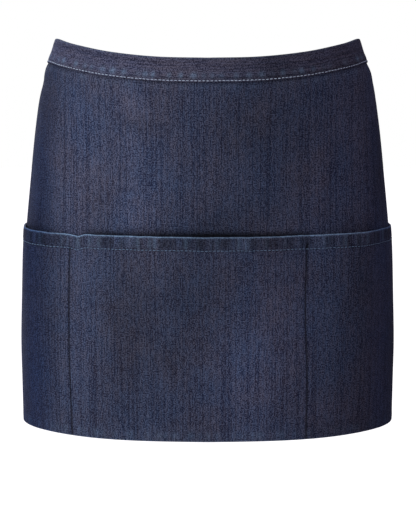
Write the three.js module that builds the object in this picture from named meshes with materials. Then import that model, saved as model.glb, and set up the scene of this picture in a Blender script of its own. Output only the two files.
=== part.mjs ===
// A short waist apron of dark denim, in the shape that it takes when it is worn round the hips.
// A folded waistband carries a body panel, and a pocket panel covers the panel's lower half.
// Two rows of stitching divide the pocket panel into three pockets, and two ties close the band
// behind the wearer with a plain knot.
//
// Millimetres, +Z up, the front faces -Y and +X is on the right of someone who looks at the front.
// The origin is the middle of the waist, level with the middle of the waistband at the centre front.
//
// Every piece of cloth lies on one surface, the outer face of the body panel. A place on it is
// `around`, the distance along the cloth from the wearer's centre front, and `down`, the distance
// below the waistband's top edge. An `offset` is measured out of that face, away from the wearer.

import * as THREE from 'three';

// The apron laid flat
const CLOTH_WIDTH = 600;
const FRONT_LENGTH = 346;
const CLOTH_WALL = 1.0;
const SIDE_HEM_WIDTH = 10;
const SIDE_HEM_WALL = 2.0;
const BAND_HEIGHT = 22;
const BAND_WALL = 1.2;
const POCKET_HEIGHT = 187;
const POCKET_WALL = 1.0;
const POCKET_HEM_HEIGHT = 13;
const POCKET_HEM_WALL = 2.0;
const CENTRE_POCKET_WIDTH = 224;

// The ties, which are flat straps of the same cloth
const TIE_WIDTH = 20;
const TIE_WALL = 2.0;
const TIE_END_LENGTH = 230;
const TIE_END_GAP = 1.5;
const KNOT_WIDTH = 30;
const KNOT_HEIGHT = 25;
const KNOT_DEPTH = 11;
const KNOT_ROUNDING = 3;

// How it is worn: the cloth sits a little off centre, and its ends leave a gap behind the waist.
// The waist's depths are shares of its half width, and the hips stand out past it by these sizes.
const WORN_SHIFT = -21;
const BACK_GAP = 131.5;
const WAIST_FRONT = 0.658;
const WAIST_BACK = 0.607;
const HIP_SPREAD = 32.8;
const HIP_FRONT = 16;
const HIP_BACK = 14;
const RING_POWER = 2.2;
const SIDE_RISE = 13.4;
const BACK_DROP = 12;
const HEM_RISE = 5;
const POCKET_GAPE = 9;
const SIDE_POCKET_GAPE = 8;

// Clearance between two pieces that are sewn together
const SEAM_GAP = 0.3;

// How far each ring has spread from the waist (0) to the hips (1), at shares of the length from the
// top edge down
const BODY_FORM = [
  { place: 'band top', down: 0.0, width: 0.0, front: 0.0, back: 0.0 },
  { place: 'band bottom', down: 0.064, width: 0.25, front: 0.2, back: 0.2 },
  { place: 'below the band', down: 0.09, width: 0.4, front: 0.33, back: 0.33 },
  { place: 'high hip', down: 0.152, width: 0.51, front: 0.5, back: 0.5 },
  { place: 'belly', down: 0.215, width: 0.61, front: 0.63, back: 0.63 },
  { place: 'mid hip', down: 0.34, width: 0.76, front: 0.8, back: 0.8 },
  { place: 'pocket top', down: 0.48, width: 0.9, front: 0.92, back: 0.93 },
  { place: 'hip', down: 0.66, width: 0.97, front: 0.99, back: 1.0 },
  { place: 'full hip', down: 0.785, width: 1.0, front: 1.0, back: 1.0 },
  { place: 'below the hip', down: 0.88, width: 0.985, front: 0.98, back: 0.97 },
  { place: 'bottom edge', down: 1.0, width: 0.965, front: 0.96, back: 0.93 },
];

// Height of the band's top edge against the centre front, at shares of the way round to the back.
// Up is a share of SIDE_RISE, and down a share of BACK_DROP.
const TOP_EDGE = [
  { place: 'centre front', around: 0.0, up: 0.0 },
  { place: 'front', around: 0.13, up: 0.07 },
  { place: 'front quarter', around: 0.25, up: 0.35 },
  { place: 'near the side', around: 0.36, up: 0.75 },
  { place: 'side', around: 0.46, up: 1.0 },
  { place: 'behind the side', around: 0.55, up: 0.72 },
  { place: 'back quarter', around: 0.63, up: 0.24 },
  { place: 'back', around: 0.73, up: -0.25 },
  { place: 'near the knot', around: 0.86, up: -0.75 },
  { place: 'centre back', around: 1.0, up: -1.0 },
];

// Height of the bottom edge against the centre front, as a share of HEM_RISE
const BOTTOM_EDGE = [
  { place: 'centre front', around: 0.0, up: 0.0 },
  { place: 'front quarter', around: 0.28, up: 0.26 },
  { place: 'near the side', around: 0.45, up: 0.76 },
  { place: 'side', around: 0.56, up: 1.0 },
  { place: 'back quarter', around: 0.75, up: 0.5 },
  { place: 'centre back', around: 1.0, up: 0.0 },
];

// Where each pocket's mouth stands open: its middle and half width, as shares of the pocket's
// width, counted from the pocket's left seam
const POCKET_MOUTHS = [
  { pocket: 'left', middle: 0.79, halfWidth: 0.21, gape: SIDE_POCKET_GAPE },
  { pocket: 'centre', middle: 0.5, halfWidth: 0.5, gape: POCKET_GAPE },
  { pocket: 'right', middle: 0.24, halfWidth: 0.24, gape: SIDE_POCKET_GAPE },
];

// How fine the faceted cloth is
const AROUND_STEP = 12.5;
const DOWN_STEP = 24;
const RING_STEPS = 360;

const smoothstep = (x, low, high) => THREE.MathUtils.smoothstep(x, low, high);

// A smooth curve through one column of a table, over its `key` column
function through(rows, key, column, at) {
  const last = rows.length - 1;
  const slope = (i, j) => (rows[j][column] - rows[i][column]) / (rows[j][key] - rows[i][key]);
  const tangent = (i) => {
    if (i === 0) return slope(0, 1);
    if (i === last) return slope(last - 1, last);
    const before = rows[i][key] - rows[i - 1][key];
    const after = rows[i + 1][key] - rows[i][key];
    return (slope(i - 1, i) * after + slope(i, i + 1) * before) / (before + after);
  };
  const x = THREE.MathUtils.clamp(at, rows[0][key], rows[last][key]);
  const next = Math.max(1, rows.findIndex((row) => row[key] >= x));
  const width = rows[next][key] - rows[next - 1][key];
  const t = (x - rows[next - 1][key]) / width;
  const rise = 3 * t ** 2 - 2 * t ** 3;
  return (
    rows[next - 1][column] * (1 - rise) +
    rows[next][column] * rise +
    tangent(next - 1) * width * (t ** 3 - 2 * t ** 2 + t) +
    tangent(next) * width * (t ** 3 - t ** 2)
  );
}

// Half of a level ring round the wearer, from centre front to centre back, with the length of
// cloth up to each of its points
function halfRing(halfWidth, front, back) {
  const points = [];
  for (let i = 0; i <= RING_STEPS; i++) {
    const angle = (Math.PI * i) / RING_STEPS;
    const x = halfWidth * Math.abs(Math.sin(angle)) ** (2 / RING_POWER);
    const reach = Math.abs(Math.cos(angle)) ** (2 / RING_POWER);
    points.push(new THREE.Vector2(x, angle < Math.PI / 2 ? -front * reach : back * reach));
  }
  const lengths = [0];
  for (let i = 1; i <= RING_STEPS; i++) {
    lengths.push(lengths[i - 1] + points[i].distanceTo(points[i - 1]));
  }
  return { points, lengths, half: lengths[RING_STEPS] };
}

// The waist is as wide as the cloth and its gap reach round, and each ring below it spreads
const WAIST_HALF_WIDTH = (CLOTH_WIDTH + BACK_GAP) / (2 * halfRing(1, WAIST_FRONT, WAIST_BACK).half);
const rings = new Map();
function ring(share) {
  const spread = (column) => through(BODY_FORM, 'down', column, share);
  if (!rings.has(share)) {
    const halfWidth = WAIST_HALF_WIDTH + HIP_SPREAD * spread('width');
    const front = WAIST_HALF_WIDTH * WAIST_FRONT + HIP_FRONT * spread('front');
    const back = WAIST_HALF_WIDTH * WAIST_BACK + HIP_BACK * spread('back');
    rings.set(share, halfRing(halfWidth, front, back));
  }
  return rings.get(share);
}

function ringPoint(share, along) {
  const { points, lengths, half } = ring(share);
  const wanted = THREE.MathUtils.clamp(along, 0, half);
  const next = Math.max(1, lengths.findIndex((length) => length >= wanted));
  const t = (wanted - lengths[next - 1]) / (lengths[next] - lengths[next - 1]);
  return points[next - 1].clone().lerp(points[next], t);
}

// The waistband is straight cloth, so all of it fans out from its middle ring. The panel under it
// eases back to its own width by EASE_END, a share of the length.
const EASE_END = 0.25;
const BAND_SHARE = BAND_HEIGHT / FRONT_LENGTH;
const HALF_WAIST = ring(BAND_SHARE / 2).half;
function ease(share) {
  if (share <= BAND_SHARE) return ring(share).half / HALF_WAIST;
  const spare = ring(BAND_SHARE).half / HALF_WAIST - 1;
  return 1 + spare * (1 - smoothstep(share, BAND_SHARE, EASE_END));
}

// The rise of the top edge is gone by here, a share of the length
const RISE_END = 0.48;
const TOP_Z = BAND_HEIGHT / 2;

// A point of the body panel's outer face
function face(around, down) {
  const share = down / FRONT_LENGTH;
  const turn = 2 * HALF_WAIST;
  const wrapped = around - turn * Math.round(around / turn);
  const place = ringPoint(share, Math.abs(wrapped) * ease(share));
  const way = Math.abs(wrapped) / HALF_WAIST;
  const up = through(TOP_EDGE, 'around', 'up', way);
  const topRise = up * (up > 0 ? SIDE_RISE : BACK_DROP) * (1 - smoothstep(share, BAND_SHARE, RISE_END));
  const hemRise = through(BOTTOM_EDGE, 'around', 'up', way) * HEM_RISE * smoothstep(share, RISE_END, 1);
  return new THREE.Vector3(Math.sign(wrapped || 1) * place.x, place.y, TOP_Z - down + topRise + hemRise);
}

const PROBE = 0.5;
function outward(around, down) {
  const middle = THREE.MathUtils.clamp(down, PROBE, FRONT_LENGTH - PROBE);
  const across = face(around + PROBE, middle).sub(face(around - PROBE, middle));
  const downward = face(around, middle + PROBE).sub(face(around, middle - PROBE));
  return downward.cross(across).normalize();
}

const offFace = (around, down, offset) => face(around, down).addScaledVector(outward(around, down), offset);

// A closed solid through sections with the same number of points. Each section lists the points of
// one face and then those of the other face back again, so the two ends close with a strip of
// quads between point i and point count - 1 - i.
function loft(sections) {
  const count = sections[0].length;
  const positions = sections.flat().flatMap((point) => point.toArray());
  const triangles = [];
  for (let s = 0; s + 1 < sections.length; s++) {
    for (let i = 0; i < count; i++) {
      const a = s * count + i;
      const b = s * count + ((i + 1) % count);
      triangles.push(a, b, a + count, b, b + count, a + count);
    }
  }
  const end = (sections.length - 1) * count;
  for (let a = 0; a + 1 < count / 2; a++) {
    const [b, c, d] = [a + 1, count - 2 - a, count - 1 - a];
    triangles.push(d, c, b, d, b, a);
    triangles.push(end + a, end + b, end + c, end + a, end + c, end + d);
  }
  const geometry = new THREE.BufferGeometry();
  geometry.setAttribute('position', new THREE.Float32BufferAttribute(positions, 3));
  geometry.setIndex(triangles);
  return geometry;
}

// Cloth that lies on the face: `section` gives its [down, offset] corners at each place around,
// down the outer face and back up the inner one
function clothSolid(arounds, section) {
  return loft(
    arounds.map((around) => section(around).map(([down, offset]) => offFace(around, down, offset))),
  );
}

function evenly(from, to, step) {
  const count = Math.max(1, Math.round((to - from) / step));
  return Array.from({ length: count + 1 }, (_, i) => THREE.MathUtils.lerp(from, to, i / count));
}

const inOrder = (values) => [...new Set(values)].sort((a, b) => a - b);

// Places across the cloth, shared by the band, the panel and the pockets so that their facets match
const LEFT_EDGE = WORN_SHIFT - CLOTH_WIDTH / 2;
const RIGHT_EDGE = WORN_SHIFT + CLOTH_WIDTH / 2;
const LEFT_SEAM = WORN_SHIFT - CENTRE_POCKET_WIDTH / 2;
const RIGHT_SEAM = WORN_SHIFT + CENTRE_POCKET_WIDTH / 2;
const HEM_STEP = 0.6;
const LEFT_HEM = LEFT_EDGE + SIDE_HEM_WIDTH;
const RIGHT_HEM = RIGHT_EDGE - SIDE_HEM_WIDTH;
const ACROSS = inOrder([
  LEFT_EDGE,
  RIGHT_EDGE,
  LEFT_HEM + HEM_STEP,
  RIGHT_HEM - HEM_STEP,
  ...evenly(LEFT_HEM, LEFT_SEAM, AROUND_STEP),
  ...evenly(LEFT_SEAM, RIGHT_SEAM, AROUND_STEP),
  ...evenly(RIGHT_SEAM, RIGHT_HEM, AROUND_STEP),
]);

// Rows down the cloth
const POCKET_TOP = FRONT_LENGTH - POCKET_HEIGHT;
const POCKET_HEM_END = POCKET_TOP + POCKET_HEM_HEIGHT;
const POCKET_ROWS = [
  POCKET_TOP,
  POCKET_HEM_END,
  POCKET_HEM_END + HEM_STEP,
  ...evenly(POCKET_HEM_END + HEM_STEP, FRONT_LENGTH, DOWN_STEP).slice(1),
];
const PANEL_TOP = BAND_WALL + SEAM_GAP;
const BELOW_BAND = BAND_HEIGHT + SEAM_GAP;
const PANEL_ROWS = [
  PANEL_TOP,
  BAND_HEIGHT / 2,
  BELOW_BAND,
  BELOW_BAND + HEM_STEP,
  ...evenly(BELOW_BAND + HEM_STEP, POCKET_TOP, DOWN_STEP).slice(1, -1),
  ...POCKET_ROWS,
];

// The body panel: one layer, with a turned hem down each side, which starts under the band
function panelWall(around, down) {
  const inHem = around <= LEFT_HEM || around >= RIGHT_HEM;
  return inHem && down > BELOW_BAND ? SIDE_HEM_WALL : CLOTH_WALL;
}

const bodyPanel = clothSolid(ACROSS, (around) => [
  ...PANEL_ROWS.map((down) => [down, 0]),
  ...PANEL_ROWS.toReversed().map((down) => [down, -panelWall(around, down)]),
]);

// The waistband: a strip folded over the panel's top edge, so its section is an upturned U
const BAND_OUT = SEAM_GAP + BAND_WALL;
const BAND_IN = -(CLOTH_WALL + SEAM_GAP + BAND_WALL);
const waistband = clothSolid(ACROSS, () => [
  [BAND_HEIGHT, BAND_IN],
  [BAND_HEIGHT / 2, BAND_IN],
  [0, BAND_IN],
  [0, BAND_OUT],
  [BAND_HEIGHT / 2, BAND_OUT],
  [BAND_HEIGHT, BAND_OUT],
  [BAND_HEIGHT, SEAM_GAP],
  [BAND_HEIGHT / 2, SEAM_GAP],
  [BAND_WALL, SEAM_GAP],
  [BAND_WALL, BAND_IN + BAND_WALL],
  [BAND_HEIGHT / 2, BAND_IN + BAND_WALL],
  [BAND_HEIGHT, BAND_IN + BAND_WALL],
]);

// The pocket panel: sewn to the body panel along its sides, its bottom and the two dividing seams,
// and standing open at the mouths. Its top hem is turned to the inside.
const POCKET_SPANS = {
  left: [LEFT_EDGE, LEFT_SEAM],
  centre: [LEFT_SEAM, RIGHT_SEAM],
  right: [RIGHT_SEAM, RIGHT_EDGE],
};

function gape(around, down) {
  const depth = (down - POCKET_TOP) / POCKET_HEIGHT;
  let open = 0;
  for (const mouth of POCKET_MOUTHS) {
    const [from, to] = POCKET_SPANS[mouth.pocket];
    const middle = THREE.MathUtils.lerp(from, to, mouth.middle);
    const away = (around - middle) / ((to - from) * mouth.halfWidth);
    if (Math.abs(away) < 1) open += mouth.gape * (1 - away ** 2) ** 2;
  }
  return open * (1 - depth ** 2);
}

function pocketOut(around, down) {
  const belowHem = Math.max(0, down - POCKET_HEM_END) / (FRONT_LENGTH - POCKET_HEM_END);
  return SEAM_GAP + THREE.MathUtils.lerp(POCKET_HEM_WALL, POCKET_WALL, belowHem) + gape(around, down);
}

const pocketWall = (down) => (down <= POCKET_HEM_END ? POCKET_HEM_WALL : POCKET_WALL);
const pocketPanel = clothSolid(ACROSS, (around) => [
  ...POCKET_ROWS.map((down) => [down, pocketOut(around, down)]),
  ...POCKET_ROWS.toReversed().map((down) => [down, pocketOut(around, down) - pocketWall(down)]),
]);

// The ties: straps that carry on from the band's ends and meet at the knot, half way between them
const KNOT_AROUND = WORN_SHIFT + HALF_WAIST;
const TIE_TOP = (BAND_HEIGHT - TIE_WIDTH) / 2;
const TIE_MIDDLE = (BAND_OUT + BAND_IN) / 2;
const KNOT_SIDE = KNOT_WIDTH / 2 + SEAM_GAP;
const tieSection = () => [
  [TIE_TOP, TIE_MIDDLE + TIE_WALL / 2],
  [TIE_TOP + TIE_WIDTH, TIE_MIDDLE + TIE_WALL / 2],
  [TIE_TOP + TIE_WIDTH, TIE_MIDDLE - TIE_WALL / 2],
  [TIE_TOP, TIE_MIDDLE - TIE_WALL / 2],
];
const tieRight = clothSolid(evenly(RIGHT_EDGE + SEAM_GAP, KNOT_AROUND - KNOT_SIDE, AROUND_STEP), tieSection);
const tieLeft = clothSolid(
  evenly(KNOT_AROUND + KNOT_SIDE, LEFT_EDGE - SEAM_GAP + 2 * HALF_WAIST, AROUND_STEP),
  tieSection,
);

// The knot: a rounded block that faces out of the ring
const knotCentre = offFace(KNOT_AROUND, TIE_TOP + TIE_WIDTH / 2, TIE_MIDDLE + KNOT_DEPTH / 4);
const knotOut = outward(KNOT_AROUND, TIE_TOP + TIE_WIDTH / 2).setZ(0).normalize();
const knotAcross = new THREE.Vector3(-knotOut.y, knotOut.x, 0);

function knotSolid() {
  const half = { x: KNOT_WIDTH / 2 - KNOT_ROUNDING, y: KNOT_HEIGHT / 2 - KNOT_ROUNDING };
  const corner = KNOT_ROUNDING;
  const outline = new THREE.Shape();
  outline.moveTo(-half.x + corner, -half.y);
  outline.lineTo(half.x - corner, -half.y);
  outline.quadraticCurveTo(half.x, -half.y, half.x, -half.y + corner);
  outline.lineTo(half.x, half.y - corner);
  outline.quadraticCurveTo(half.x, half.y, half.x - corner, half.y);
  outline.lineTo(-half.x + corner, half.y);
  outline.quadraticCurveTo(-half.x, half.y, -half.x, half.y - corner);
  outline.lineTo(-half.x, -half.y + corner);
  outline.quadraticCurveTo(-half.x, -half.y, -half.x + corner, -half.y);
  const body = new THREE.ExtrudeGeometry(outline, {
    depth: KNOT_DEPTH - 2 * KNOT_ROUNDING,
    bevelThickness: KNOT_ROUNDING,
    bevelSize: KNOT_ROUNDING,
    bevelSegments: 2,
    curveSegments: 3,
  });
  return body.translate(0, 0, KNOT_ROUNDING - KNOT_DEPTH / 2);
}

// A tie's loose end: it hangs from under the knot and drifts to its own side. Each row is a share
// of its length, with how far it has moved sideways and out of the ring, and how far it has turned.
const END_DRAPE = [
  { down: 0.0, aside: 0.0, out: 0.0, turn: 0.0 },
  { down: 0.08, aside: 0.016, out: 0.012, turn: 5 },
  { down: 0.25, aside: 0.045, out: 0.014, turn: 13 },
  { down: 0.5, aside: 0.075, out: 0.008, turn: 17 },
  { down: 0.75, aside: 0.09, out: 0.004, turn: 12 },
  { down: 1.0, aside: 0.1, out: 0.008, turn: 8 },
];
const END_STEP = 19;

function tieEnd(side) {
  const top = knotCentre.clone().addScaledVector(new THREE.Vector3(0, 0, 1), -KNOT_HEIGHT / 2 - SEAM_GAP);
  top.addScaledVector(knotAcross, (side * KNOT_WIDTH) / 8);
  top.addScaledVector(knotOut, (side * (TIE_WALL + TIE_END_GAP)) / 2);
  const outline = [
    new THREE.Vector2(-TIE_WIDTH / 2, TIE_WALL / 2),
    new THREE.Vector2(-TIE_WIDTH / 2, -TIE_WALL / 2),
    new THREE.Vector2(TIE_WIDTH / 2, -TIE_WALL / 2),
    new THREE.Vector2(TIE_WIDTH / 2, TIE_WALL / 2),
  ];
  const sections = evenly(0, 1, END_STEP / TIE_END_LENGTH).map((share) => {
    const value = (column) => through(END_DRAPE, 'down', column, share);
    const turn = THREE.MathUtils.degToRad(side * value('turn'));
    const width = knotAcross.clone().applyAxisAngle(new THREE.Vector3(0, 0, 1), turn);
    const thick = knotOut.clone().applyAxisAngle(new THREE.Vector3(0, 0, 1), turn);
    const middle = top.clone();
    middle.z -= share * TIE_END_LENGTH;
    middle.addScaledVector(knotAcross, side * value('aside') * TIE_END_LENGTH);
    middle.addScaledVector(knotOut, value('out') * TIE_END_LENGTH);
    return outline.map(({ x, y }) => middle.clone().addScaledVector(width, x).addScaledVector(thick, y));
  });
  return loft(sections);
}

// Materials, by finish
const bodyDenim = new THREE.MeshStandardMaterial({ color: 0x3a3d55, roughness: 0.92, metalness: 0 });
const bandDenim = new THREE.MeshStandardMaterial({ color: 0x3f4055, roughness: 0.92, metalness: 0 });
const pocketDenim = new THREE.MeshStandardMaterial({ color: 0x373a52, roughness: 0.92, metalness: 0 });
const tieDenim = new THREE.MeshStandardMaterial({ color: 0x3c3e55, roughness: 0.92, metalness: 0 });

function piece(name, geometry, material) {
  const mesh = new THREE.Mesh(geometry, material);
  mesh.name = name;
  return mesh;
}

const apron = new THREE.Group();
apron.add(piece('body_panel', bodyPanel, bodyDenim));
apron.add(piece('waistband', waistband, bandDenim));
apron.add(piece('pocket_panel', pocketPanel, pocketDenim));
apron.add(piece('tie_left', tieLeft, tieDenim));
apron.add(piece('tie_right', tieRight, tieDenim));
apron.add(piece('tie_end_left', tieEnd(1), tieDenim));
apron.add(piece('tie_end_right', tieEnd(-1), tieDenim));

const knot = piece('tie_knot', knotSolid(), tieDenim);
knot.position.copy(knotCentre);
knot.quaternion.setFromRotationMatrix(
  new THREE.Matrix4().makeBasis(knotAcross, new THREE.Vector3(0, 0, 1), knotAcross.clone().cross(new THREE.Vector3(0, 0, 1))),
);
apron.add(knot);

export default apron;
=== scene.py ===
import math

import bmesh
import bpy
import numpy as np
from mathutils import Matrix, Vector


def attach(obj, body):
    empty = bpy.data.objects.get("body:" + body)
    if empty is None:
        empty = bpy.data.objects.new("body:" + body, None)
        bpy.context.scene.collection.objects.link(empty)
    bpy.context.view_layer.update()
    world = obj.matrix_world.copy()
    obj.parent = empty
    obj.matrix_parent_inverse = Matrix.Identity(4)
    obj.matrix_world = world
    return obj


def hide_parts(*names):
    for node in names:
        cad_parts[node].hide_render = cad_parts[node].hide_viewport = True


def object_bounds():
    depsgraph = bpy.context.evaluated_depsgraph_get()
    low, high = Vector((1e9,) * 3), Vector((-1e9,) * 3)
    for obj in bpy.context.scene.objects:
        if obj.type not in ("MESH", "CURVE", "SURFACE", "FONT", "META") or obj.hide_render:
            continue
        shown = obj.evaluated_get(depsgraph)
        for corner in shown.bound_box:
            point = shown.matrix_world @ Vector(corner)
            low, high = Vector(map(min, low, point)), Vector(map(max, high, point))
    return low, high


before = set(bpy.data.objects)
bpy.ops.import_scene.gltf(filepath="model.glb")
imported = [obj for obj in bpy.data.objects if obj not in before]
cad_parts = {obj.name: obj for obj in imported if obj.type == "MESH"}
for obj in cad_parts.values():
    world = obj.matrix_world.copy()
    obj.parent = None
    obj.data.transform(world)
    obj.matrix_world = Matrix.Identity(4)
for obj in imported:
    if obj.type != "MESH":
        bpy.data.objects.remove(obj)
cad_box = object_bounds()

# Camera
# A long lens, a little above the apron's front and 3 m away, looking slightly down at it.
# The photograph is 416 pixels wide and 507 high, and the apron's middle stands at pixel 207.5.
PHOTO_WIDTH = 416
PHOTO_HEIGHT = 507
PHOTO_MIDDLE = 207.5
LENS_PIXELS = 3368
SENSOR_MM = 36.0
CAMERA_DISTANCE = 3.107
CAMERA_HEIGHT = 0.168
CAMERA_DIP = math.radians(6.31)

camera_data = bpy.data.cameras.new("camera")
camera_data.sensor_width = SENSOR_MM
camera_data.lens = LENS_PIXELS / PHOTO_HEIGHT * SENSOR_MM
camera_data.clip_end = 60
camera = bpy.data.objects.new("camera", camera_data)
bpy.context.scene.collection.objects.link(camera)
aside = (PHOTO_WIDTH / 2 - PHOTO_MIDDLE) * CAMERA_DISTANCE / LENS_PIXELS
camera.location = (aside, -CAMERA_DISTANCE, CAMERA_HEIGHT)
camera.rotation_euler = (math.pi / 2 - CAMERA_DIP, 0, 0)
bpy.context.scene.camera = camera

# Body panel
# The apron's main panel: one layer of dark indigo denim, 600 mm wide, with its warp running down.
# Each side edge is turned to the inside and sewn. Worn, it takes the shape of the waist and hips,
# so each place on it is found by going `around` from the centre front and `down` from the band.
CLOTH_WIDTH = 0.600
FRONT_LENGTH = 0.346
CLOTH_WALL = 0.0010
SIDE_HEM_WIDTH = 0.010
SIDE_HEM_WALL = 0.0020
BAND_HEIGHT = 0.022
BAND_WALL = 0.0012
SEAM_GAP = 0.0003
WORN_SHIFT = -0.021
BACK_GAP = 0.1315
WAIST_FRONT = 0.658
WAIST_BACK = 0.607
HIP_SPREAD = 0.0328
HIP_FRONT = 0.016
HIP_BACK = 0.014
RING_POWER = 2.2
SIDE_RISE = 0.0134
BACK_DROP = 0.012
HEM_RISE = 0.005
EASE_END = 0.25
RISE_END = 0.48

# How far each ring has spread from waist to hips: share of the length, width, front, back
BODY_FORM = [
    (0.000, 0.000, 0.00, 0.00),
    (0.064, 0.250, 0.20, 0.20),
    (0.090, 0.400, 0.33, 0.33),
    (0.152, 0.510, 0.50, 0.50),
    (0.215, 0.610, 0.63, 0.63),
    (0.340, 0.760, 0.80, 0.80),
    (0.480, 0.900, 0.92, 0.93),
    (0.660, 0.970, 0.99, 1.00),
    (0.785, 1.000, 1.00, 1.00),
    (0.880, 0.985, 0.98, 0.97),
    (1.000, 0.965, 0.96, 0.93),
]
# Height of the band's top edge: share of the way round to the back, share of the rise or drop
TOP_EDGE = [
    (0.00, 0.00),
    (0.13, 0.07),
    (0.25, 0.35),
    (0.36, 0.75),
    (0.46, 1.00),
    (0.55, 0.72),
    (0.63, 0.24),
    (0.73, -0.25),
    (0.86, -0.75),
    (1.00, -1.00),
]
# Height of the bottom edge: share of the way round to the back, share of the rise
BOTTOM_EDGE = [
    (0.00, 0.00),
    (0.28, 0.26),
    (0.45, 0.76),
    (0.56, 1.00),
    (0.75, 0.50),
    (1.00, 0.00),
]


def through(rows, column, at):
    """A smooth curve through one column of a table, over its first column."""
    table = np.array(rows, float)
    places, values = table[:, 0], table[:, column]
    steps = np.diff(places)
    slopes = np.diff(values) / steps
    inner = (slopes[:-1] * steps[1:] + slopes[1:] * steps[:-1]) / (steps[:-1] + steps[1:])
    tangents = np.concatenate(([slopes[0]], inner, [slopes[-1]]))
    x = np.clip(at, places[0], places[-1])
    i = np.clip(np.searchsorted(places, x) - 1, 0, len(steps) - 1)
    t = (x - places[i]) / steps[i]
    rise = 3 * t**2 - 2 * t**3
    bend = tangents[i] * (t**3 - 2 * t**2 + t) + tangents[i + 1] * (t**3 - t**2)
    return values[i] * (1 - rise) + values[i + 1] * rise + steps[i] * bend


def smooth(x, low, high):
    """A soft step from 0 at `low` to 1 at `high`."""
    t = np.clip((x - low) / (high - low), 0, 1)
    return t * t * (3 - 2 * t)


def length_along(steps):
    """The length of a line up to each of its points, from the steps between them."""
    return np.concatenate(([0], np.cumsum(steps)))


RING_ANGLES = np.linspace(0, math.pi, 721)


def half_ring(half_width, front, back):
    """Half of a level ring from centre front to centre back, and the cloth's length along it."""
    x = half_width * np.abs(np.sin(RING_ANGLES)) ** (2 / RING_POWER)
    reach = np.abs(np.cos(RING_ANGLES)) ** (2 / RING_POWER)
    y = np.where(RING_ANGLES < math.pi / 2, -front * reach, back * reach)
    return x, y, length_along(np.hypot(np.diff(x), np.diff(y)))


WAIST_HALF_WIDTH = (CLOTH_WIDTH + BACK_GAP) / (2 * half_ring(1, WAIST_FRONT, WAIST_BACK)[2][-1])


def ring(share):
    """The level ring at a share of the length from the top edge down."""
    half_width = WAIST_HALF_WIDTH + HIP_SPREAD * through(BODY_FORM, 1, share)
    front = WAIST_HALF_WIDTH * WAIST_FRONT + HIP_FRONT * through(BODY_FORM, 2, share)
    back = WAIST_HALF_WIDTH * WAIST_BACK + HIP_BACK * through(BODY_FORM, 3, share)
    return half_ring(half_width, front, back)


BAND_SHARE = BAND_HEIGHT / FRONT_LENGTH
HALF_WAIST = ring(BAND_SHARE / 2)[2][-1]
BAND_SPREAD = ring(BAND_SHARE)[2][-1] / HALF_WAIST
TABLE_STEP = 0.001
AROUND_TABLE = np.arange(-0.430, 0.431, TABLE_STEP)
DOWN_TABLE = np.arange(0, FRONT_LENGTH + TABLE_STEP / 2, TABLE_STEP)


def face_row(down):
    """The panel's outer face at one distance down, at every place in AROUND_TABLE."""
    share = down / FRONT_LENGTH
    x, y, length = ring(share)
    wrapped = AROUND_TABLE - 2 * HALF_WAIST * np.round(AROUND_TABLE / (2 * HALF_WAIST))
    ease = 1 + (BAND_SPREAD - 1) * (1 - smooth(share, BAND_SHARE, EASE_END))
    if share <= BAND_SHARE:
        ease = length[-1] / HALF_WAIST
    along = np.clip(np.abs(wrapped) * ease, 0, length[-1])
    way = np.abs(wrapped) / HALF_WAIST
    up = through(TOP_EDGE, 1, way)
    top = up * np.where(up > 0, SIDE_RISE, BACK_DROP) * (1 - smooth(share, BAND_SHARE, RISE_END))
    hem = through(BOTTOM_EDGE, 1, way) * HEM_RISE * smooth(share, RISE_END, 1)
    side = np.where(wrapped < 0, -1, 1)
    z = BAND_HEIGHT / 2 - down + top + hem
    return np.stack([side * np.interp(along, length, x), np.interp(along, length, y), z], -1)


FACE = np.array([face_row(down) for down in DOWN_TABLE])
OUTWARD = np.cross(np.gradient(FACE, axis=0), np.gradient(FACE, axis=1))
OUTWARD /= np.linalg.norm(OUTWARD, axis=-1, keepdims=True)


def look_up(table, around, down):
    """A value between the rows and columns of a table over the cloth."""
    column = np.clip((around - AROUND_TABLE[0]) / TABLE_STEP, 0, len(AROUND_TABLE) - 1.001)
    row = np.clip(down / TABLE_STEP, 0, len(DOWN_TABLE) - 1.001)
    i, j = row.astype(int), column.astype(int)
    s, t = (row - i)[..., None], (column - j)[..., None]
    upper = table[i, j] * (1 - t) + table[i, j + 1] * t
    lower = table[i + 1, j] * (1 - t) + table[i + 1, j + 1] * t
    return upper * (1 - s) + lower * s


def on_cloth(around, down, offset):
    """Points that stand `offset` out of the body panel's outer face."""
    around, down, offset = np.broadcast_arrays(around, down, offset)
    return look_up(FACE, around, down) + look_up(OUTWARD, around, down) * offset[..., None]


# Soft swells and creases of the worn cloth: around, down, half width, half height, lean, height
SWELLS = [
    (-0.190, 0.031, 0.060, 0.012, 0.0, -0.0056),
    (0.190, 0.033, 0.060, 0.010, 0.0, -0.0026),
    (-0.100, 0.270, 0.070, 0.140, 0.0, 0.0012),
    (0.110, 0.270, 0.075, 0.140, 0.0, 0.0016),
    (-0.005, 0.250, 0.045, 0.110, 0.0, -0.0012),
    (-0.085, 0.150, 0.030, 0.007, 0.15, -0.0009),
    (-0.045, 0.146, 0.022, 0.006, 0.30, -0.0008),
    (0.062, 0.143, 0.030, 0.006, 0.55, -0.0010),
    (0.075, 0.128, 0.022, 0.006, 0.70, -0.0007),
    (-0.030, 0.060, 0.050, 0.009, -0.20, -0.0006),
    (0.035, 0.075, 0.045, 0.010, 0.35, -0.0006),
]
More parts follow.
